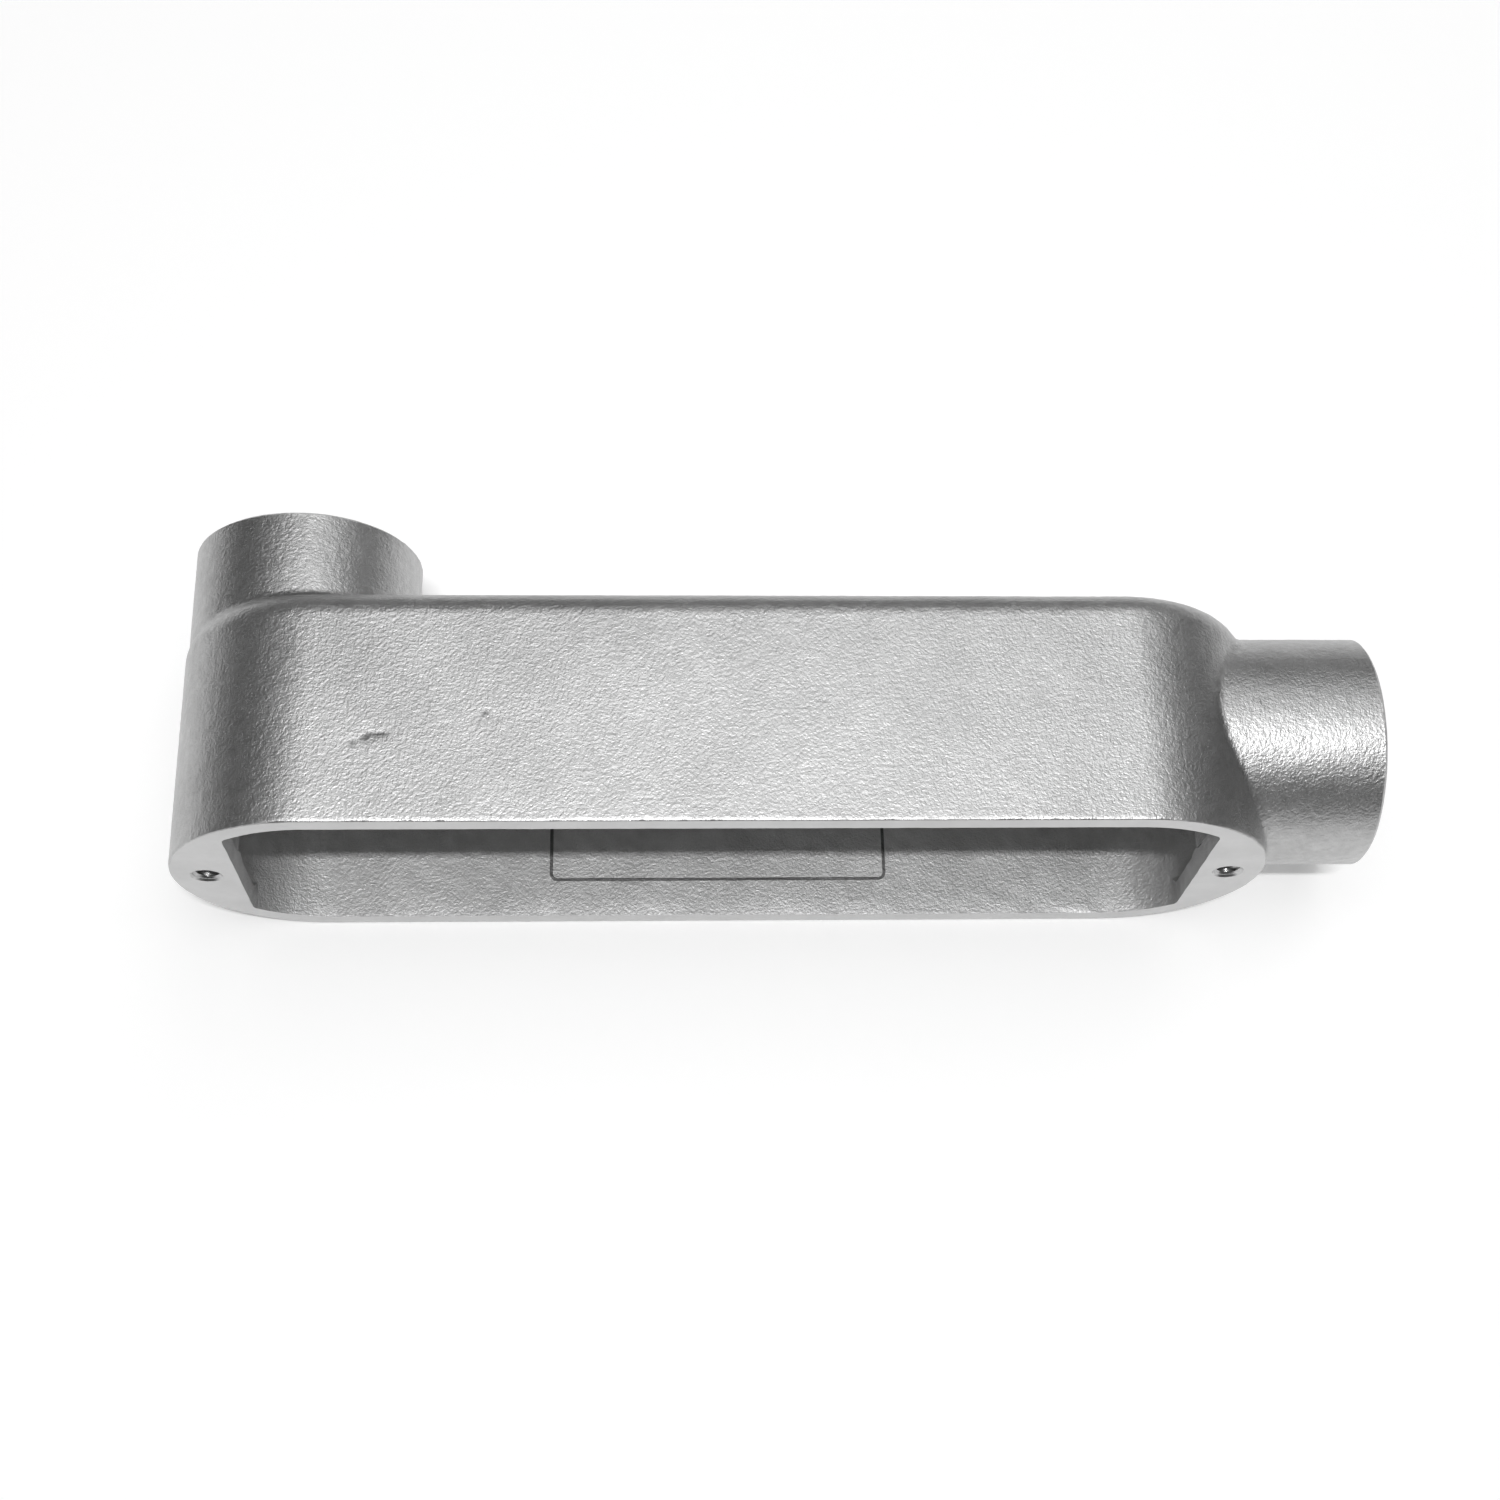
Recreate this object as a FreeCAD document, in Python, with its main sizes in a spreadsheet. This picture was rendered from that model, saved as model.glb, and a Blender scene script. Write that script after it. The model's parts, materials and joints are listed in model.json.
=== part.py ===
import FreeCAD, Part
import math
import os
import Sketcher
from FreeCAD import Vector

# A cast aluminium conduit body, type LB, 3/4 inch trade size, without its cover.
# One casting: a long box with half-round ends, open along its front, with a threaded hub on the
# right end and another on the back at the left end. It lies on its lower side wall.
#
# In the casting's own frame X runs along the box from the rim's left end, Y runs from the rim
# face to the back, and Z runs up across the width. The Placement moves that frame so that the
# origin is the middle of the underside of the whole casting.

# Driving dimensions, in mm.
SIZES = {
    # threaded hubs: the bore is taken to the root of the thread
    "thread_diameter": 26.5,
    "thread_depth": 15.0,
    "mouth_chamfer": 1.0,
    "mouth_edge_chamfer": 0.4,
    "hub_wall": 4.05,
    "end_hub_root_radius": 1.6,
    "back_hub_root_radius": 1.6,
    # integral bushing behind each thread
    "bushing_step": 2.85,
    "end_bushing_length": 4.2,
    "back_bushing_length": 2.4,
    "bushing_edge_radius": 1.0,
    # box
    "body_length": 162.0,
    "body_shoulder": 4.45,
    "rim_to_hub": 2.2,
    "hub_setback": 0.3,
    "wall": 3.2,
    "back_edge_radius": 5.0,
    "cavity_edge_radius": 2.5,
    # lands at the two ends of the opening, and the bosses for the cover's screws
    "land_length": 9.9,
    "land_thickness": 3.0,
    "opening_corner_radius": 1.5,
    "screw_inset": 5.25,
    "screw_hole_diameter": 4.2,
    "screw_hole_depth": 7.0,
    "screw_hole_chamfer": 0.3,
    "boss_wall": 2.1,
    "boss_floor": 1.5,
    "boss_root_chamfer": 1.0,
    "land_root_radius": 1.5,
    # fine groove that frames the blank panel on the lower inner wall
    "panel_length": 52.8,
    "panel_height": 16.0,
    "panel_from_rim": 5.6,
    "panel_corner_radius": 1.3,
    "groove_width": 0.5,
    "groove_depth": 0.3,
}

# Sizes that follow from the driving ones.
DERIVED = {
    "screw_radius": "screw_hole_diameter / 2",
    "thread_radius": "thread_diameter / 2",
    "hub_radius": "thread_radius + hub_wall",
    "throat_radius": "thread_radius - bushing_step",
    "bushing_edge": "min(bushing_edge_radius ; 0.9 * back_bushing_length)",
    "end_radius": "hub_radius + body_shoulder",
    "body_depth": "rim_to_hub + 2 * hub_radius + hub_setback",
    "right_centre": "body_length - end_radius",
    "cavity_radius": "end_radius - wall",
    "cavity_depth": "body_depth - wall",
    "end_hub_mouth": "body_length - wall + end_bushing_length + thread_depth",
    "end_bore_reach": "end_hub_mouth - right_centre",
    "end_hub_axis": "rim_to_hub + hub_radius",
    "end_hub_root": "min(end_hub_root_radius ; 0.9 * rim_to_hub)",
    "back_hub_mouth": "cavity_depth + back_bushing_length + thread_depth",
    "back_bore_reach": "back_hub_mouth - cavity_depth / 2",
    "back_hub_axis": "hub_setback + hub_radius",
    "right_land": "body_length - land_length",
    "right_screw": "body_length - screw_inset",
    "boss_radius": "screw_hole_diameter / 2 + boss_wall",
    "boss_depth": "screw_hole_depth + boss_floor",
    "boss_root": "min(boss_root_chamfer ; 0.7 * land_root_radius)",
    "left_heel": "wall / 2",
    "right_heel": "body_length - wall / 2",
    "panel_left": "(body_length - panel_length) / 2",
}

SMOOTH = 1e-4  # angles under this are tangent, and points this near are the same
START, END, CENTRE = 1, 2, 3  # a sketch curve's points
ORIGIN = (-1, 1)  # a sketch's own origin

doc = FreeCAD.newDocument("conduit_body")
sheet = doc.addObject("Spreadsheet::Sheet", "Sizes")
for row, (name, content) in enumerate({**SIZES, **DERIVED}.items(), start=1):
    sheet.set(f"A{row}", name)
    sheet.set(f"B{row}", f"={content}" if name in DERIVED else str(content))
    sheet.setAlias(f"B{row}", name)
    doc.recompute()

casting = doc.addObject("PartDesign::Body", "Casting")
casting.Label = "conduit_body"
planes = {item.Role: item for item in casting.Origin.OriginFeatures}


def size(name):
    """The value of a named cell."""
    return float(sheet.get(name))


def tie(target, prop, expression):
    """Binds a property to an expression of named cells, such as "wall + land_length"."""
    words = expression.replace("(", "( ").replace(")", " )").split()
    named = [f"Sizes.{word}" if word in SIZES or word in DERIVED else word for word in words]
    target.setExpression(prop, " ".join(named))


# ------------------------------------------------------------------ sketches


def sketch_on(role, name, across="0", along="0", out="0"):
    """A sketch on one of the body's origin planes, its own origin moved by named sizes."""
    sketch = casting.newObject("Sketcher::SketchObject", name)
    sketch.AttachmentSupport = [(planes[role], "")]
    sketch.MapMode = "FlatFace"
    for axis, expression in zip("xyz", (across, along, out)):
        tie(sketch, f"AttachmentOffset.Base.{axis}", expression)
    doc.recompute()
    return sketch


def arc(x, y, radius, start, end):
    """An anticlockwise arc about (x, y), between two angles in radians."""
    return Part.ArcOfCircle(Part.Circle(Vector(x, y, 0), Vector(0, 0, 1), radius), start, end)


def line(start, end):
    """A straight run between two (x, y) points."""
    return Part.LineSegment(Vector(*start, 0), Vector(*end, 0))


def outline(sketch, curves):
    """Adds a closed anticlockwise outline. Smooth joints are tangent, the others only meet."""
    ids = list(sketch.addGeometry(curves, False))
    for (here, curve), (there, following) in zip(
        zip(ids, curves), zip(ids[1:] + ids[:1], curves[1:] + curves[:1])
    ):
        leaving = curve.tangent(curve.LastParameter)[0]
        arriving = following.tangent(following.FirstParameter)[0]
        joint = "Tangent" if leaving.getAngle(arriving) < SMOOTH else "Coincident"
        sketch.addConstraint(Sketcher.Constraint(joint, here, END, there, START))
        if isinstance(curve, Part.LineSegment):
            run = curve.EndPoint - curve.StartPoint
            if abs(run.y) < SMOOTH:
                sketch.addConstraint(Sketcher.Constraint("Horizontal", here))
            elif abs(run.x) < SMOOTH:
                sketch.addConstraint(Sketcher.Constraint("Vertical", here))
    return ids


def radius_is(sketch, expression, first, *equals):
    """Drives one curve's radius, and keeps the others equal to it."""
    driven = Sketcher.Constraint("Radius", first, sketch.Geometry[first].Radius)
    tie(sketch, f"Constraints[{sketch.addConstraint(driven)}]", expression)
    for other in equals:
        sketch.addConstraint(Sketcher.Constraint("Equal", first, other))


def place(sketch, curve, spot, x=None, y=None):
    """Drives the distance of a curve's point from the sketch's origin, along X, Y or both."""
    at = sketch.getPoint(curve, spot)
    for kind, value, expression in (("DistanceX", at.x, x), ("DistanceY", at.y, y)):
        if expression:
            driven = Sketcher.Constraint(kind, *ORIGIN, curve, spot, value)
            tie(sketch, f"Constraints[{sketch.addConstraint(driven)}]", expression)


def stadium(sketch, radius):
    """The box's plan at a given half width: two half circles joined by straight sides."""
    low, high, mid, rad = size("end_radius"), size("right_centre"), size("end_radius"), size(radius)
    half = math.pi / 2
    ids = outline(sketch, [
        line((low, mid - rad), (high, mid - rad)),
        arc(high, mid, rad, -half, half),
        line((high, mid + rad), (low, mid + rad)),
        arc(low, mid, rad, half, 3 * half),
    ])
    place(sketch, ids[3], CENTRE, x="end_radius", y="end_radius")
    place(sketch, ids[1], CENTRE, x="right_centre")
    radius_is(sketch, radius, ids[3])


def opening_outline(sketch):
    """The cavity's plan cut off straight at each land, with rounded corners."""
    low, high, mid = size("end_radius"), size("right_centre"), size("end_radius")
    left, right = size("land_length"), size("right_land")
    rad, corner = size("cavity_radius"), size("opening_corner_radius")
    inset = low - left - corner
    rise = math.sqrt((rad - corner) ** 2 - inset ** 2)
    turn, half = math.atan2(rise, inset), math.pi / 2
    ids = outline(sketch, [
        line((low, mid - rad), (high, mid - rad)),
        arc(high, mid, rad, -half, -turn),
        arc(right - corner, mid - rise, corner, -turn, 0),
        line((right, mid - rise), (right, mid + rise)),
        arc(right - corner, mid + rise, corner, 0, turn),
        arc(high, mid, rad, turn, half),
        line((high, mid + rad), (low, mid + rad)),
        arc(low, mid, rad, half, 2 * half - turn),
        arc(left + corner, mid + rise, corner, 2 * half - turn, 2 * half),
        line((left, mid + rise), (left, mid - rise)),
        arc(left + corner, mid - rise, corner, 2 * half, 2 * half + turn),
        arc(low, mid, rad, 2 * half + turn, 3 * half),
    ])
    for lower, upper, centre in ((ids[1], ids[5], "right_centre"), (ids[11], ids[7], "end_radius")):
        sketch.addConstraint(Sketcher.Constraint("Coincident", lower, CENTRE, upper, CENTRE))
        place(sketch, lower, CENTRE, x=centre, y="end_radius")
    radius_is(sketch, "cavity_radius", ids[7], ids[11])
    radius_is(sketch, "opening_corner_radius", ids[2], ids[4], ids[8], ids[10])
    place(sketch, ids[3], START, x="right_land")
    place(sketch, ids[9], START, x="land_length")


def panel_outline(sketch, inset):
    """The panel's rounded frame, shrunk on every side by a named size, or by "0"."""
    shrink = size(inset) if inset != "0" else 0
    left, low = size("panel_left") + shrink, size("panel_from_rim") + shrink
    right = size("panel_left") + size("panel_length") - shrink
    high = size("panel_from_rim") + size("panel_height") - shrink
    rad, half = size("panel_corner_radius") - shrink, math.pi / 2
    ids = outline(sketch, [
        line((left + rad, low), (right - rad, low)),
        arc(right - rad, low + rad, rad, -half, 0),
        line((right, low + rad), (right, high - rad)),
        arc(right - rad, high - rad, rad, 0, half),
        line((right - rad, high), (left + rad, high)),
        arc(left + rad, high - rad, rad, half, 2 * half),
        line((left, high - rad), (left, low + rad)),
        arc(left + rad, low + rad, rad, 2 * half, 3 * half),
    ])
    radius_is(sketch, f"panel_corner_radius - {inset}", *ids[1::2])
    place(sketch, ids[0], START, y=f"panel_from_rim + {inset}")
    place(sketch, ids[4], START, y=f"panel_from_rim + panel_height - {inset}")
    place(sketch, ids[6], START, x=f"panel_left + {inset}")
    place(sketch, ids[2], START, x=f"panel_left + panel_length - {inset}")


def boss_outline(sketch, screw, heel):
    """A screw boss in plan: a half circle about the screw, and a heel sunk in the end wall."""
    x, back, mid, rad = size(screw), size(heel), size("end_radius"), size("boss_radius")
    facing = 0 if x > back else math.pi
    first, last = (mid - rad, mid + rad) if x > back else (mid + rad, mid - rad)
    ids = outline(sketch, [
        line((back, first), (x, first)),
        arc(x, mid, rad, facing - math.pi / 2, facing + math.pi / 2),
        line((x, last), (back, last)),
        line((back, last), (back, first)),
    ])
    radius_is(sketch, "boss_radius", ids[1])
    place(sketch, ids[1], CENTRE, x=screw, y="end_radius")
    place(sketch, ids[3], START, x=heel)


def round_outline(sketch, radius, x, y):
    """A circle whose centre and radius are named sizes."""
    centre = Vector(size(x), size(y), 0)
    curve = sketch.addGeometry(Part.Circle(centre, Vector(0, 0, 1), size(radius)))
    radius_is(sketch, radius, curve)
    place(sketch, curve, CENTRE, x=x, y=y)


def bore_outline(sketch, reach):
    """Half the section of a hub's bore. The sketch's origin is the middle of the hub's mouth, and
    X points out of it: a chamfered mouth, the thread, and the throat of the bushing behind it."""
    depth, thread, throat = size("thread_depth"), size("thread_radius"), size("throat_radius")
    chamfer, inner = size("mouth_chamfer"), size(reach)
    ids = outline(sketch, [
        line((-inner, 0), (0, 0)),
        line((0, 0), (0, thread + chamfer)),
        line((0, thread + chamfer), (-chamfer, thread)),
        line((-chamfer, thread), (-depth, thread)),
        line((-depth, thread), (-depth, throat)),
        line((-depth, throat), (-inner, throat)),
        line((-inner, throat), (-inner, 0)),
    ])
    place(sketch, ids[0], START, x=f"- {reach}")
    sketch.addConstraint(Sketcher.Constraint("Coincident", ids[0], END, *ORIGIN))
    place(sketch, ids[1], END, y="thread_radius + mouth_chamfer")
    place(sketch, ids[3], START, x="- mouth_chamfer", y="thread_radius")
    place(sketch, ids[4], END, x="- thread_depth", y="throat_radius")


# ------------------------------------------------------------------ features


def feature(kind, name, sketch, reverse=False, **ties):
    """A feature made from a sketch, with its named properties bound to sizes."""
    made = casting.newObject(f"PartDesign::{kind}", name)
    made.Profile = sketch
    made.Reversed = reverse
    for prop, expression in ties.items():
        tie(made, prop, expression)
    doc.recompute()


def dress_edges(kind, name, amount, test):
    """Fillets or chamfers each curved edge along which all the points pass the test, and what
    runs on from it."""
    chosen = [
        f"Edge{number}"
        for number, edge in enumerate(casting.Shape.Edges, start=1)
        if not isinstance(edge.Curve, Part.Line) and all(map(test, edge.discretize(7)))
    ]
    base = casting.Tip
    dressed = casting.newObject(f"PartDesign::{kind}", name)
    dressed.Base = (base, chosen)
    tie(dressed, "Radius" if kind == "Fillet" else "Size", amount)
    doc.recompute()


def at_depth(depth):
    """A test for points in the plane at that distance behind the rim face."""
    return lambda spot: abs(spot.y - size(depth)) < SMOOTH


def on_end_hub(spot, radius="hub_radius"):
    """Is a point that far from the end hub's axis?"""
    off = math.hypot(spot.y - size("end_hub_axis"), spot.z - size("end_radius"))
    return abs(off - size(radius)) < SMOOTH


def on_back_hub(spot, radius="hub_radius"):
    """Is a point that far from the back hub's axis?"""
    off = math.hypot(spot.x - size("back_hub_axis"), spot.z - size("end_radius"))
    return abs(off - size(radius)) < SMOOTH


# The box, with its back edge rounded.
box_plan = sketch_on("XZ_Plane", "BoxPlan")
stadium(box_plan, "end_radius")
feature("Pad", "Box", box_plan, reverse=True, Length="body_depth")
dress_edges("Fillet", "BackEdge", "back_edge_radius", at_depth("body_depth"))

# The two hubs start inside the box and end at their mouths.
end_hub_plan = sketch_on("YZ_Plane", "EndHubPlan", out="right_centre")
round_outline(end_hub_plan, "hub_radius", x="end_hub_axis", y="end_radius")
feature("Pad", "EndHub", end_hub_plan, Length="end_hub_mouth - right_centre")
back_hub_plan = sketch_on("XZ_Plane", "BackHubPlan", out="- body_depth / 2")
round_outline(back_hub_plan, "hub_radius", x="back_hub_axis", y="end_radius")
feature("Pad", "BackHub", back_hub_plan, reverse=True, Length="back_hub_mouth - body_depth / 2")

# Each hub meets the box in a concave root, and its mouth has a broken outer edge.
past_end, past_back = size("body_length") + SMOOTH, size("body_depth") + SMOOTH
dress_edges("Fillet", "EndHubRoot", "end_hub_root", lambda p: on_end_hub(p) and p.x < past_end)
dress_edges("Fillet", "BackHubRoot", "back_hub_root_radius", lambda p: on_back_hub(p) and p.y < past_back)
dress_edges("Chamfer", "EndHubMouth", "mouth_edge_chamfer", lambda p: on_end_hub(p) and p.x > past_end)
dress_edges("Chamfer", "BackHubMouth", "mouth_edge_chamfer", lambda p: on_back_hub(p) and p.y > past_back)

# The cavity, from under the lands to the back wall.
cavity_plan = sketch_on("XZ_Plane", "CavityPlan", out="- land_thickness")
stadium(cavity_plan, "cavity_radius")
feature("Pocket", "Cavity", cavity_plan, Length="cavity_depth - land_thickness")
dress_edges("Fillet", "CavityEdge", "cavity_edge_radius", at_depth("cavity_depth"))
dress_edges("Fillet", "LandRoot", "land_root_radius", at_depth("land_thickness"))

# A boss under each land carries the thread of a cover screw, and blends into the land.
ENDS = {"Left": ("screw_inset", "left_heel"), "Right": ("right_screw", "right_heel")}
for side, (screw, heel) in ENDS.items():
    boss_plan = sketch_on("XZ_Plane", f"{side}BossPlan", out="- land_thickness / 2")
    boss_outline(boss_plan, screw, heel)
    feature("Pad", f"{side}Boss", boss_plan, reverse=True, Length="boss_depth - land_thickness / 2")


def on_boss_nose(spot):
    """Is a point on a screw boss's half-round nose?"""
    up = spot.z - size("end_radius")
    off = min(math.hypot(spot.x - size(screw), up) for screw, heel in ENDS.values())
    return abs(off - size("boss_radius")) < SMOOTH


under_land = at_depth("land_thickness")
dress_edges("Chamfer", "BossRoot", "boss_root", lambda p: on_boss_nose(p) and under_land(p))

# The opening, cut straight at each land, reaches past the rounded roots of the lands.
opening_plan = sketch_on("XZ_Plane", "OpeningPlan")
opening_outline(opening_plan)
feature("Pocket", "Opening", opening_plan, Length="land_thickness + land_root_radius")

# Each hub's bore: chamfered mouth, thread and the throat of the bushing, turned about its axis.
end_bore = sketch_on("XY_Plane", "EndBore", across="end_hub_mouth", along="end_hub_axis",
                     out="end_radius")
bore_outline(end_bore, "end_bore_reach")
back_bore = sketch_on("YZ_Plane", "BackBore", across="back_hub_mouth", along="end_radius",
                      out="back_hub_axis")
bore_outline(back_bore, "back_bore_reach")
for bore in (end_bore, back_bore):
    turned = casting.newObject("PartDesign::Groove", f"{bore.Name}Cut")
    turned.Profile = bore
    turned.ReferenceAxis = (bore, ["H_Axis"])
    turned.Angle = 360
    doc.recompute()

# Each bushing is rounded where it opens into the box, so that nothing cuts a wire pulled over it.
end_stop = size("end_hub_mouth") - size("thread_depth") - SMOOTH
back_stop = size("back_hub_mouth") - size("thread_depth") - SMOOTH
dress_edges("Fillet", "EndBushing", "bushing_edge",
            lambda p: on_end_hub(p, "throat_radius") and p.x < end_stop)
dress_edges("Fillet", "BackBushing", "bushing_edge",
            lambda p: on_back_hub(p, "throat_radius") and p.y < back_stop)

# Tapped holes for the cover's screws, drilled blind into the bosses from the rim face.
screw_plan = sketch_on("XZ_Plane", "ScrewPlan")
for screw, heel in ENDS.values():
    round_outline(screw_plan, "screw_radius", x=screw, y="end_radius")
doc.recompute()
holes = casting.newObject("PartDesign::Hole", "ScrewHoles")
holes.Profile = screw_plan
doc.recompute()
holes.ThreadType = "None"
holes.DepthType = "Dimension"
holes.DrillPoint = "Angled"
holes.HoleCutType = "Countersink"
holes.HoleCutCustomValues = True
for prop, expression in (
    ("Diameter", "screw_hole_diameter"),
    ("Depth", "screw_hole_depth"),
    ("HoleCutDiameter", "screw_hole_diameter + 2 * screw_hole_chamfer"),
):
    tie(holes, prop, expression)
doc.recompute()

# A fine groove frames the blank panel on the lower inner wall.
panel_plan = sketch_on("XY_Plane", "PanelPlan", out="wall")
panel_outline(panel_plan, "0")
panel_outline(panel_plan, "groove_width")
feature("Pocket", "PanelFrame", panel_plan, Length="groove_depth")

# The origin is the middle of the underside of the casting's own box.
tie(casting, "Placement.Base.x", "- end_hub_mouth / 2")
tie(casting, "Placement.Base.y", "- back_hub_mouth / 2")
doc.recompute()

failed = [item.Label for item in doc.Objects if {"Invalid", "Error"} & set(item.State)]
if failed:
    raise RuntimeError(f"these didn't build: {failed}")
solid = casting.Shape
if solid.isNull() or not solid.isValid() or len(solid.Solids) != 1:
    raise RuntimeError("the casting isn't one valid solid")

os.makedirs("parts", exist_ok=True)
solid.exportStep(f"parts/{casting.Label}.step")
print(f"{casting.Label}: {solid.Volume / 1000:.2f} cm3, box {solid.BoundBox}")
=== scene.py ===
import json
import math

import bmesh
import bpy
from mathutils import Matrix, Vector, noise


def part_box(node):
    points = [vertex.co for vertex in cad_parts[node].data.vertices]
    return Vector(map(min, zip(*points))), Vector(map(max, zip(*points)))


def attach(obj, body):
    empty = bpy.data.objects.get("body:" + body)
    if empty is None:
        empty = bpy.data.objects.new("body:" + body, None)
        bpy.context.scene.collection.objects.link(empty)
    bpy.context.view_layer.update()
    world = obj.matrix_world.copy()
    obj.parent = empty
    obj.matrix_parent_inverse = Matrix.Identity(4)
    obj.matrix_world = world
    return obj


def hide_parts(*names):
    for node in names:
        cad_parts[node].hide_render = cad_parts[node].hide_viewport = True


# The looks of a cast aluminium conduit body: sand-cast skin, ground rim, tapped holes.
# Metres throughout. X runs along the box to the end hub, -Y is the open front, Z is up.

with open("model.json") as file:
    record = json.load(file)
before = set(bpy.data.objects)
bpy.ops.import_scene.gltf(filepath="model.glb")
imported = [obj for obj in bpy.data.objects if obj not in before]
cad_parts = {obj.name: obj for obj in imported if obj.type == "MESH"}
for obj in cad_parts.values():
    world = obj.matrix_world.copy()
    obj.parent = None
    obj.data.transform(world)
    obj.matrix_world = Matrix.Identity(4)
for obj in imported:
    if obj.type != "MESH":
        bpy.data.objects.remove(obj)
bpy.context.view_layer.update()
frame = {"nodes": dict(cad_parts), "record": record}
CAD_LOW, CAD_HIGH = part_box("conduit_body")
MOUNTS = {mount["name"]: mount for mount in frame["record"]["mounts"]}

MM = 0.001
NEAR = 0.01 * MM  # points this close count as the same place
X_AXIS, Y_AXIS, Z_AXIS = Vector((1, 0, 0)), Vector((0, 1, 0)), Vector((0, 0, 1))

# ------------------------------------------------------------------ sizes

# From the frame.
RIM_Y, BACK_MOUTH_Y, END_MOUTH_X = CAD_LOW.y, CAD_HIGH.y, CAD_HIGH.x
BACK_Y = MOUNTS["wall_face"]["pos_m"][1]
END_RADIUS = (CAD_HIGH.z - CAD_LOW.z) / 2
MID_Z = CAD_LOW.z + END_RADIUS
END_AXIS = Vector(MOUNTS["end_hub"]["pos_m"])
BACK_AXIS = Vector(MOUNTS["back_hub"]["pos_m"])
HUB_ROOT = MOUNTS["end_hub"]["dims"]["r_mm"] * MM
SCREW_ROOT = MOUNTS["cover_screws"]["dims"]["hole_r_mm"] * MM
SCREW_SPACING = MOUNTS["cover_screws"]["dims"]["spacing_x_mm"] * MM
RIM_MIDDLE = Vector(MOUNTS["cover_screws"]["pos_m"])
LEFT_SCREW = RIM_MIDDLE - X_AXIS * SCREW_SPACING / 2
RIGHT_SCREW = RIM_MIDDLE + X_AXIS * SCREW_SPACING / 2
LEFT_CENTRE_X = CAD_LOW.x + END_RADIUS
RIGHT_CENTRE_X = 2 * RIM_MIDDLE.x - LEFT_CENTRE_X

# The casting.
WALL = 3.2 * MM
HUB_WALL = 4.05 * MM
BACK_EDGE = 5.0 * MM
CAVITY_EDGE = 2.5 * MM
HUB_THREAD_DEPTH = 15 * MM
HUB_CHAMFER = 1.0 * MM
SCREW_THREAD_DEPTH = 7 * MM
SCREW_BORE_REACH = 1.3 * SCREW_THREAD_DEPTH  # past the end of the hole
SCREW_CHAMFER = 0.3 * MM

# The lattice that its mesh is cut along, outside and inside.
CELL_OUTSIDE = 0.66 * MM
CELL_INSIDE = 1.5 * MM
EDGE_LEVELS = (0.10 * MM, 0.32 * MM)  # two more cuts outside, this far behind the ground rim
ACROSS = 0.71  # faces whose normal leans on an axis by less than this are cut across that axis

ON_CUT = 0.02 * MM  # corners this close to a cut count as lying on it
SLIVER = 0.06 * MM  # cuts closer together than this are made one
SAG = 0.08 * MM  # how far under a round face the coarse mesh's facets lie at most
SHARP = math.radians(35)  # edges over this angle are shaded sharp

CAST, GROUND, BORE, INSIDE = range(4)  # kinds of surface, in the order of the material slots

# ------------------------------------------------------------------ the casting's mesh


def new_piece(name, mesh):
    """Links a mesh as a piece that rides on the casting's body."""
    piece = bpy.data.objects.new(name, mesh)
    bpy.context.scene.collection.objects.link(piece)
    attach(piece, "root")
    return piece


def plan_distance(at):
    """How far a point is from the box's middle line, as seen from the front."""
    x = min(max(at.x, LEFT_CENTRE_X), RIGHT_CENTRE_X)
    return math.hypot(at.x - x, at.z - MID_Z)


def from_end_axis(at):
    """How far a point is from the end hub's axis."""
    return math.hypot(at.y - END_AXIS.y, at.z - END_AXIS.z)


def from_back_axis(at):
    """How far a point is from the back hub's axis."""
    return math.hypot(at.x - BACK_AXIS.x, at.z - BACK_AXIS.z)


def kind_of(at):
    """What kind of surface the casting has at a point."""
    if at.y < RIM_Y + NEAR or at.x > END_MOUTH_X - NEAR or at.y > BACK_MOUTH_Y - NEAR:
        return GROUND
    hub_bore = HUB_ROOT + HUB_CHAMFER + NEAR
    if at.x > END_MOUTH_X - HUB_THREAD_DEPTH - NEAR and from_end_axis(at) < hub_bore:
        return BORE
    if at.y > BACK_MOUTH_Y - HUB_THREAD_DEPTH - NEAR and from_back_axis(at) < hub_bore:
        return BORE
    for screw in (LEFT_SCREW, RIGHT_SCREW):
        off = math.hypot(at.x - screw.x, at.z - screw.z)
        if off < SCREW_ROOT + SCREW_CHAMFER + NEAR and at.y < RIM_Y + SCREW_BORE_REACH:
            return BORE
    in_box = plan_distance(at) < END_RADIUS - WALL / 2 and at.y < BACK_Y - WALL / 2
    in_end_throat = at.x > RIGHT_CENTRE_X and from_end_axis(at) < HUB_ROOT
    in_back_throat = at.y > BACK_Y - WALL and from_back_axis(at) < HUB_ROOT
    return INSIDE if in_box or in_end_throat or in_back_throat else CAST


def kinds_at(part):
    """The kinds of surface that meet at a vertex or an edge."""
    return {face.material_index for face in part.link_faces}


def cut_between(bm, faces, normal, levels):
    """Cuts faces at every level along a direction, the middle one first."""
    if not levels or not faces:
        return
    middle = len(levels) // 2
    edges = {edge for face in faces for edge in face.edges}
    cut = bmesh.ops.bisect_plane(
        bm, geom=list(edges) + faces, dist=ON_CUT,
        plane_co=normal * levels[middle], plane_no=normal,
    )
    below, above = [], []
    for face in cut["geom"]:
        if isinstance(face, bmesh.types.BMFace):
            side = face.calc_center_median().dot(normal) < levels[middle]
            (below if side else above).append(face)
    cut_between(bm, below, normal, levels[:middle])
    cut_between(bm, above, normal, levels[middle + 1:])


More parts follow.
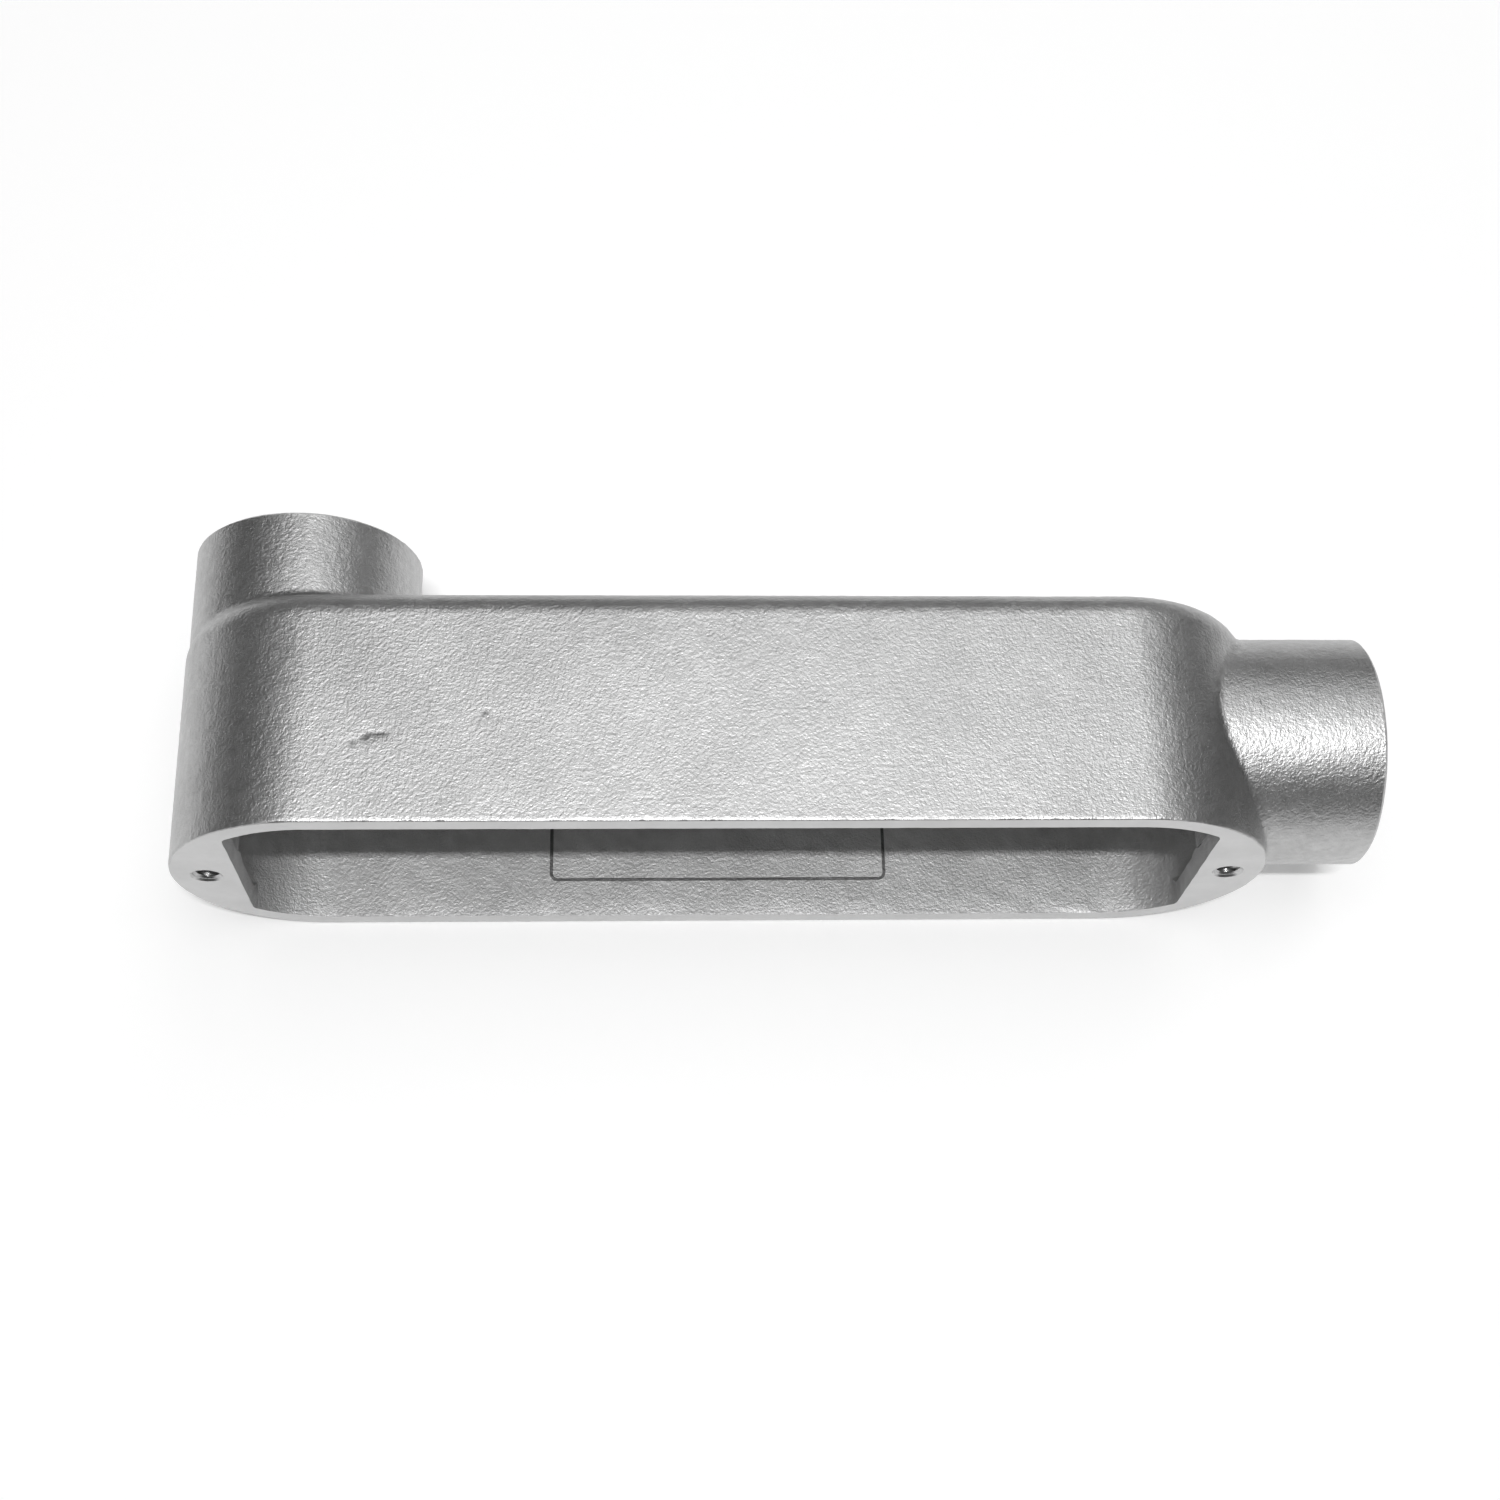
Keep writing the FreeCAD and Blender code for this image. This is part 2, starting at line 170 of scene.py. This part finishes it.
def cut_to_lattice(bm, kinds, cell, extra=()):
    """Cuts the faces of some kinds along a lattice, each family of planes where it runs across."""
    for axis, normal in enumerate((X_AXIS, Y_AXIS, Z_AXIS)):
        low, high = CAD_LOW[axis], CAD_HIGH[axis]
        count = round((high - low) / cell)
        levels = [low + (high - low) * step / count for step in range(1, count)]
        levels += [level for across, level in extra if across == axis]
        faces = [
            face for face in bm.faces
            if face.material_index in kinds and abs(face.normal[axis]) < ACROSS
        ]
        cut_between(bm, faces, normal, sorted(levels))


def pushed_out(across, up, radius):
    """Two coordinates from a round face's axis, moved out onto it if they are just under it."""
    off = math.hypot(across, up)
    scale = radius / off if radius - SAG < off < radius else 1.0
    return across * scale, up * scale


def true_round(at, kinds):
    """A point of the coarse mesh's facets, moved onto the round face that they stand for."""
    x, y, z = at
    if CAST in kinds and y > BACK_Y:
        x, z = pushed_out(x - BACK_AXIS.x, z - BACK_AXIS.z, HUB_ROOT + HUB_WALL)
        return Vector((x + BACK_AXIS.x, y, z + BACK_AXIS.z))
    if CAST in kinds and x > RIGHT_CENTRE_X and from_end_axis(at) < HUB_ROOT + HUB_WALL:
        y, z = pushed_out(y - END_AXIS.y, z - END_AXIS.z, HUB_ROOT + HUB_WALL)
        return Vector((x, y + END_AXIS.y, z + END_AXIS.z))
    inset, edge = (0, BACK_EDGE) if CAST in kinds else (WALL, CAVITY_EDGE)
    radius, floor_y = END_RADIUS - inset, BACK_Y - inset
    middle_x = min(max(x, LEFT_CENTRE_X), RIGHT_CENTRE_X)
    off = math.hypot(x - middle_x, z - MID_Z)
    if off < radius - edge or y > floor_y + NEAR:
        return at
    if y > floor_y - edge:
        past, rise = pushed_out(off - radius + edge, y - floor_y + edge, edge)
        past, y = past + radius - edge, rise + floor_y - edge
    else:
        past = radius if radius - SAG < off < radius else off
    return Vector((middle_x + (x - middle_x) * past / off, y, MID_Z + (z - MID_Z) * past / off))


def casting_mesh():
    """The casting's solid as a mesh that is cut fine enough for its skin to be shaped."""
    bm = bmesh.new()
    bm.from_mesh(frame["nodes"]["conduit_body"].data)
    bmesh.ops.remove_doubles(bm, verts=bm.verts, dist=NEAR / 10)
    for face in bm.faces:
        face.material_index = kind_of(face.calc_center_median())
    bmesh.ops.dissolve_limit(
        bm, angle_limit=math.radians(0.05), verts=bm.verts, edges=bm.edges, delimit={"MATERIAL"}
    )
    bm.normal_update()
    cut_to_lattice(bm, {CAST}, CELL_OUTSIDE, [(1, RIM_Y + step) for step in EDGE_LEVELS])
    bm.normal_update()
    cut_to_lattice(bm, {INSIDE}, CELL_INSIDE)
    bmesh.ops.dissolve_degenerate(bm, dist=SLIVER, edges=bm.edges)
    for vert in bm.verts:
        kinds = kinds_at(vert)
        if BORE not in kinds and kinds & {CAST, INSIDE}:
            vert.co = true_round(vert.co, kinds)
    bm.normal_update()
    return bm


# ------------------------------------------------------------------ the skin's relief

GRAIN = 0.035 * MM  # half the height of the sand grain on the cast faces
GRAIN_SIZE = 0.85 * MM
WAVE = 0.03 * MM  # a slow unevenness of the cast faces
WAVE_SIZE = 9 * MM
RAGGED = 0.14 * MM  # how far the ground faces' edges wander
RAGGED_SIZE = 3.5 * MM
EDGE_BREAK = 0.14 * MM  # the worn edge between the ground rim and the cast sides
GROOVE_FLOOR = 0.1 * MM  # the inner panel's groove is darkened with painted shade from this far under the wall and a dent where it is deeper than this
DARK_DENT = 0.07 * MM  # and a dent where it is deeper than this

# Dents in the upper side wall, each a short furrow: its two ends from the rim's left end, its
# width and its depth, in mm. The first two run into one another.
DENTS = (
    ((28.4, 12.0), (30.6, 12.5), 0.7, 0.10),
    ((30.2, 13.0), (33.2, 13.4), 0.6, 0.12),
    ((46.6, 16.4), (48.6, 15.9), 0.6, 0.09),
)


def turbulence(at, cell, seed):
    """Smooth noise of about -1 to 1 with cells of a given size."""
    return noise.noise(at / cell + Vector((seed, seed * 1.7, -seed)))


def grain_at(at):
    """The height of the sand-cast grain at a point, about -1 to 1."""
    size = 2.2 * GRAIN_SIZE
    shift = Vector((turbulence(at, size, 3.1), turbulence(at, size, 8.3), 0))
    warped = at + shift * GRAIN_SIZE * 0.5
    grain = 1.25 * turbulence(warped, GRAIN_SIZE, 5.2) + 0.5 * turbulence(warped, GRAIN_SIZE / 2, 9.7)
    return max(-1.0, min(1.0, grain))


def dent_at(at):
    """How deep the dents are at a point of the upper side wall."""
    depth = 0.0
    if at.z < CAD_HIGH.z - MM:
        return depth
    for start, end, width, deep in DENTS:
        a = Vector((CAD_LOW.x + start[0] * MM, RIM_Y + start[1] * MM))
        b = Vector((CAD_LOW.x + end[0] * MM, RIM_Y + end[1] * MM))
        along = max(0.0, min(1.0, (at.xy - a).dot(b - a) / (b - a).length_squared))
        off = (at.xy - a.lerp(b, along)).length / (width * MM)
        depth += deep * MM * math.exp(-4 * off * off)
    return depth


def painted_shade_at(at):
    """How dark a point is with painted shade, 0 or 1: in the inner panel's groove and in the dents."""
    below = plan_distance(at) - (END_RADIUS - WALL)
    inside = RIM_Y + WALL < at.y < BACK_Y - WALL and abs(at.x - RIM_MIDDLE.x) < SCREW_SPACING / 4
    in_groove = inside and GROOVE_FLOOR < below < WALL / 2
    return 1.0 if in_groove or dent_at(at) > DARK_DENT else 0.0


def sink_at(at, kinds, grain):
    """How far the skin lies under the casting's plain surface at a point."""
    sink = WAVE * turbulence(at, WAVE_SIZE, 1.3) - GRAIN * grain
    if CAST in kinds:
        sink += WAVE + GRAIN + dent_at(at)
    from_rim = (at.y - RIM_Y) / EDGE_LEVELS[-1]
    if from_rim < 1 and CAST in kinds:
        uneven = 1 + 0.8 * turbulence(at, RAGGED_SIZE / 2, 6.1)
        sink += EDGE_BREAK * (1 - from_rim) ** 2 * uneven
    if GROUND in kinds:
        sink += RAGGED * (1 + turbulence(at, RAGGED_SIZE, 4.4)) / 2
    return sink


def outward_at(vert, kinds):
    """The way out of the cast metal at a vertex, along a ground face where it borders on one."""
    out, ground = Vector(), Vector()
    for face in vert.link_faces:
        weight = face.normal * face.calc_area()
        if face.material_index == GROUND:
            ground += weight
        else:
            out += weight
    out.normalize()
    if GROUND in kinds:
        ground.normalize()
        out -= ground * out.dot(ground)
    return out


def in_cad_box(at):
    """A point, or the nearest one to it in the CAD box."""
    return Vector(min(max(at[axis], CAD_LOW[axis]), CAD_HIGH[axis]) for axis in range(3))


def grey(level):
    """A grey of that level as a colour with its alpha."""
    return (level, level, level, 1)


def shape_skin(bm):
    """Gives the cast faces their relief. Outside it only sinks them, and the ground faces stay
    plane. Grain and painted shade (groove, dents) are kept as colour attributes, for the material."""
    relief = bm.verts.layers.float_color.new("relief")
    grime_and_shade = bm.verts.layers.float_color.new("grime_and_shade")
    moved = []
    for vert in bm.verts:
        kinds = kinds_at(vert)
        at = vert.co
        vert[relief] = grey(0.5)
        # painted shade in the inner panel's groove and the dents, kept for the material
        vert[grime_and_shade] = grey(painted_shade_at(at))
        if BORE in kinds or not kinds & {CAST, INSIDE}:
            continue
        grain = grain_at(at)
        vert[relief] = grey(0.5 + 0.4 * grain)
        place = at - outward_at(vert, kinds) * sink_at(at, kinds, grain)
        moved.append((vert, in_cad_box(place) if CAST in kinds else place))
    for vert, place in moved:
        vert.co = place


def shade_skin(bm):
    """Shades the casting smooth, with sharp borders round its ground faces."""
    bmesh.ops.triangulate(bm, faces=[face for face in bm.faces if len(face.verts) > 4])
    bm.normal_update()
    for face in bm.faces:
        face.smooth = True
    for edge in bm.edges:
        kinds = kinds_at(edge)
        edge.smooth = edge.calc_face_angle(0) < SHARP and (len(kinds) == 1 or GROUND not in kinds)


# ------------------------------------------------------------------ materials


def new_material(name):
    """A metal, with its node tree and main shader."""
    material = bpy.data.materials.new(name)
    material.use_nodes = True
    shader = material.node_tree.nodes["Principled BSDF"]
    shader.inputs["Metallic"].default_value = 1.0
    return material, material.node_tree, shader


def fill(tree, socket, value):
    """Sets a socket, or links another one to it."""
    if isinstance(value, bpy.types.NodeSocket):
        tree.links.new(value, socket)
    else:
        socket.default_value = value


def add(tree, kind, **inputs):
    """A node with some of its inputs filled, each named as its socket with _ for a space."""
    node = tree.nodes.new(f"ShaderNode{kind}")
    for name, value in inputs.items():
        fill(tree, node.inputs[name.replace("_", " ")], value)
    return node


def worked_out(tree, operation, first, second):
    """A number from two others."""
    node = add(tree, "Math")
    node.operation = operation
    fill(tree, node.inputs[0], first)
    fill(tree, node.inputs[1], second)
    return node.outputs["Value"]


def kept_on_skin(tree, name):
    """A number that shape_skin kept on the casting."""
    node = add(tree, "Attribute")
    node.attribute_name = name
    return node.outputs["Fac"]


def spread(tree, factor, dark, bright, low=0.3, high=0.7):
    """A number that runs from dark to bright as the factor runs from low to high."""
    node = add(tree, "MapRange", Value=factor, From_Min=low, From_Max=high, To_Min=dark, To_Max=bright)
    return node.outputs["Result"]


def speckle(tree, size, detail=2.0, rough=0.6, stretch=(1, 1, 1)):
    """Noise whose features have that size."""
    place = add(tree, "TexCoord").outputs["Object"]
    scaled = add(tree, "Mapping", Vector=place, Scale=[1 / (size * along) for along in stretch])
    node = add(tree, "TexNoise", Vector=scaled.outputs["Vector"], Scale=1.0, Detail=detail,
               Roughness=rough)
    return node.outputs["Fac"]


def paint_grey(tree, shader, level):
    """Makes the shader's colour a grey of that level."""
    colour = add(tree, "CombineColor", Red=level, Green=level, Blue=level)
    fill(tree, shader.inputs["Base Color"], colour.outputs["Color"])


def bumped(tree, height, depth, strength=1.0, under=None):
    """A normal shaken by a height of that depth, on top of another normal."""
    node = add(tree, "Bump", Strength=strength, Distance=depth, Height=height)
    if under:
        fill(tree, node.inputs["Normal"], under)
    return node.outputs["Normal"]


def cast_material(name, dark, pale, smooth, rough):
    """Sand-cast aluminium: pale grain tops, duller hollows, glinting grit, painted shade in the groove
    and dents.
    """
    material, tree, shader = new_material(name)
    blotch = speckle(tree, 14 * MM, detail=3.0)
    fine = speckle(tree, 0.22 * MM, rough=0.65)
    grit = speckle(tree, 0.5 * MM)
    tops = spread(tree, kept_on_skin(tree, "relief"), 0.88, 1.05, 0.2, 0.8)
    tone = worked_out(tree, "MULTIPLY", tops, spread(tree, blotch, dark, pale))
    # painted shade: the inner panel's groove and the dents take 0.3 of the colour
    unshaded = spread(tree, kept_on_skin(tree, "grime_and_shade"), 1.0, 0.3, 0.0, 1.0)
    paint_grey(tree, shader, worked_out(tree, "MULTIPLY", tone, unshaded))
    fill(tree, shader.inputs["Roughness"], spread(tree, fine, smooth, rough))
    coarse = bumped(tree, grit, 0.10 * MM)
    fill(tree, shader.inputs["Normal"], bumped(tree, fine, 0.03 * MM, under=coarse))
    return material


def ground_material():
    """A face ground flat: smoother and paler, with faint strokes along the box."""
    material, tree, shader = new_material("ground_face")
    blotch = speckle(tree, 6 * MM, detail=4.0)
    score = speckle(tree, 0.5 * MM, stretch=(16, 1, 1))
    paint_grey(tree, shader, spread(tree, blotch, 0.54, 0.64))
    fill(tree, shader.inputs["Roughness"], spread(tree, blotch, 0.42, 0.52))
    fill(tree, shader.inputs["Normal"], bumped(tree, score, 0.01 * MM, 0.5))
    return material


def bore_material():
    """Cut metal inside the threaded holes, with a little grime."""
    material, tree, shader = new_material("cut_bore")
    grime_and_shade = speckle(tree, 1.5 * MM, detail=3.0)
    paint_grey(tree, shader, spread(tree, grime_and_shade, 0.42, 0.60))
    fill(tree, shader.inputs["Roughness"], spread(tree, grime_and_shade, 0.40, 0.25))
    return material


CAST_SKIN = cast_material("cast_skin", 0.49, 0.57, 0.35, 0.53)
INSIDE_SKIN = cast_material("inside_skin", 0.54, 0.64, 0.48, 0.64)
GROUND_FACE, CUT_BORE = ground_material(), bore_material()

casting_bm = casting_mesh()
shape_skin(casting_bm)
shade_skin(casting_bm)
casting_skin = bpy.data.meshes.new("conduit_casting")
casting_bm.to_mesh(casting_skin)
casting_bm.free()
if casting_skin.has_custom_normals:  # those of the coarse mesh
    casting_skin.attributes.remove(casting_skin.attributes["custom_normal"])
for material in (CAST_SKIN, GROUND_FACE, CUT_BORE, INSIDE_SKIN):
    casting_skin.materials.append(material)
casting = new_piece("conduit_casting", casting_skin)
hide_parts("conduit_body")

# ------------------------------------------------------------------ threads

INLAY = 0.03 * MM  # how far a thread stands off the plain wall of its bore, inwards and outwards
FLAT = 0.06  # how much of a full tooth's height its root and its crest each lose
SHARP_TOOTH = math.radians(50)  # a thread's edges over this angle are shaded sharp


def tooth_at(phase):
    """The height of a 60 degree thread at a share of its pitch: flat root, slope, flat crest."""
    return max(0.0, min(1.0, (1 + 2 * FLAT) * (1 - abs(2 * (phase % 1.0) - 1)) - FLAT))


def thread_mesh(name, root, start, depth, pitch, height, taper, around, per_pitch):
    """A tapped thread as a sleeve in a plain bore, from its start to its depth along local +Z.
    The bore's chamfer cuts the first turns, and the last one runs out."""
    rows = math.ceil((depth - start) / pitch * per_pitch) + 1
    bm = bmesh.new()
    rings = []
    for row in range(rows):
        z = start + (depth - start) * row / (rows - 1)
        run_out = min(1.0, (depth - z) / pitch)
        cone = root - INLAY - (z - start)
        ring = []
        for step in range(around):
            turn = step / around
            cut = root - INLAY - taper * (z - start) - height * run_out * tooth_at(z / pitch - turn)
            ring.append((max(cut, cone), turn, z))
        rings.append(ring)
    for z in (depth, start):
        rings.append([(root + INLAY, step / around, z) for step in range(around)])
    made = [
        [bm.verts.new((r * math.cos(math.tau * turn), r * math.sin(math.tau * turn), z))
         for r, turn, z in ring]
        for ring in rings
    ]
    for low, high in zip(made, made[1:] + made[:1]):
        for step in range(around):
            after = (step + 1) % around
            bm.faces.new((low[step], high[step], high[after], low[after]))
    mesh = bpy.data.meshes.new(name)
    bmesh.ops.recalc_face_normals(bm, faces=bm.faces)
    bm.to_mesh(mesh)
    bm.free()
    mesh.materials.append(CUT_BORE)
    mesh.shade_smooth()
    mesh.set_sharp_from_angle(angle=SHARP_TOOTH)
    return mesh


def tapped(name, mouth, inward, sizes):
    """A threaded sleeve whose start is at a hole's mouth and which runs inward."""
    mesh = thread_mesh(name, **sizes)
    turn = Z_AXIS.rotation_difference(inward).to_matrix().to_4x4()
    mesh.transform(Matrix.Translation(mouth) @ turn)
    return new_piece(name, mesh)


# 3/4-14 taper pipe thread, and number 8-32 for the cover's screws.
PIPE = {
    "root": HUB_ROOT, "start": HUB_CHAMFER, "depth": HUB_THREAD_DEPTH - 0.3 * MM,
    "pitch": 25.4 / 14 * MM, "height": 1.42 * MM, "taper": 1 / 32, "around": 112, "per_pitch": 14,
}
SCREW = {
    "root": SCREW_ROOT, "start": SCREW_CHAMFER, "depth": SCREW_THREAD_DEPTH - 0.2 * MM,
    "pitch": 25.4 / 32 * MM, "height": 0.40 * MM, "taper": 0, "around": 40, "per_pitch": 12,
}
tapped("end_hub_thread", Vector((END_MOUTH_X, END_AXIS.y, END_AXIS.z)), -X_AXIS, PIPE)
tapped("back_hub_thread", Vector((BACK_AXIS.x, BACK_MOUTH_Y, BACK_AXIS.z)), -Y_AXIS, PIPE)
tapped("left_screw_thread", LEFT_SCREW, Y_AXIS, SCREW)
tapped("right_screw_thread", RIGHT_SCREW, Y_AXIS, SCREW)

# ------------------------------------------------------------------ floor, camera and light

FLOOR_REACH = 3.0
FLOOR_SHADE = 0.8
FLOOR_GLOW = 0.28  # added where it is looked at: the lamps alone render the floor at 0.70 to 0.75
WORLD_SHADE = 0.02

# The photo's camera, fitted to the outline there, in metres, degrees and millimetres.
CAMERA_AT = (-0.02086, -0.13790, 0.33064)
CAMERA_TURN = (23.200, -2.678, -1.219)
CAMERA_LENS = 53.16
CAMERA_SENSOR = 36.0


def floor_material():
    """A pale floor that keeps the object's shadow, and shows white wherever it isn't shaded."""
    material = bpy.data.materials.new("pale_floor")
    material.use_nodes = True
    tree = material.node_tree
    tree.nodes.clear()
    ray = add(tree, "LightPath").outputs
    seen = worked_out(tree, "MAXIMUM", ray["Is Camera Ray"], ray["Is Glossy Ray"])
    seen = worked_out(tree, "MAXIMUM", seen, ray["Is Transmission Ray"])
    strength = worked_out(tree, "MULTIPLY", seen, FLOOR_GLOW)
    pale = add(tree, "BsdfDiffuse", Color=grey(FLOOR_SHADE))
    glow = add(tree, "Emission", Color=(1, 1, 1, 1), Strength=strength)
    both = add(tree, "AddShader")
    fill(tree, both.inputs[0], pale.outputs["BSDF"])
    fill(tree, both.inputs[1], glow.outputs["Emission"])
    add(tree, "OutputMaterial", Surface=both.outputs["Shader"])
    return material


floor_mesh = bpy.data.meshes.new("floor")
floor_bm = bmesh.new()
bmesh.ops.create_circle(floor_bm, cap_ends=True, segments=64, radius=FLOOR_REACH)
floor_bm.to_mesh(floor_mesh)
floor_bm.free()
floor_mesh.materials.append(floor_material())
floor = bpy.data.objects.new("floor", floor_mesh)
bpy.context.scene.collection.objects.link(floor)
floor.location.z = CAD_LOW.z

lens = bpy.data.cameras.new("camera")
lens.sensor_width = CAMERA_SENSOR
lens.lens = CAMERA_LENS
lens.clip_start = 10 * MM
camera = bpy.data.objects.new("camera", lens)
camera.location = CAMERA_AT
camera.rotation_euler = [math.radians(angle) for angle in CAMERA_TURN]
bpy.context.scene.collection.objects.link(camera)
bpy.context.scene.camera = camera


def softbox(name, at, width, height, watts):
    """A rectangular lamp that faces the object's middle, with its place and sizes in metres."""
    data = bpy.data.lights.new(name, "AREA")
    data.shape, data.size, data.size_y, data.energy = "RECTANGLE", width, height, watts
    lamp = bpy.data.objects.new(name, data)
    lamp.location = at
    target = Vector((0, 0, MID_Z))
    lamp.rotation_euler = (Vector(at) - target).to_track_quat("Z", "Y").to_euler()
    bpy.context.scene.collection.objects.link(lamp)


softbox("overhead", (0.02, 0.02, 0.9), 0.8, 0.7, 2.85)
softbox("left_overhead", (-0.30, 0.0, 0.9), 0.3, 0.4, 0.2)
softbox("back_overhead", (0.25, 0.6, 0.9), 0.7, 0.5, 1.35)
softbox("side", (0.9, 0.9, 0.45), 0.8, 0.6, 0.35)
softbox("key", (0.0, -0.42, 1.5), 0.35, 0.05, 12.8)

world = bpy.data.worlds.new("studio")
bpy.context.scene.world = world
world.use_nodes = True
background = world.node_tree.nodes["Background"]
background.inputs["Color"].default_value = grey(WORLD_SHADE)
background.inputs["Strength"].default_value = 1.0

bpy.context.scene.view_settings.view_transform = "Standard"
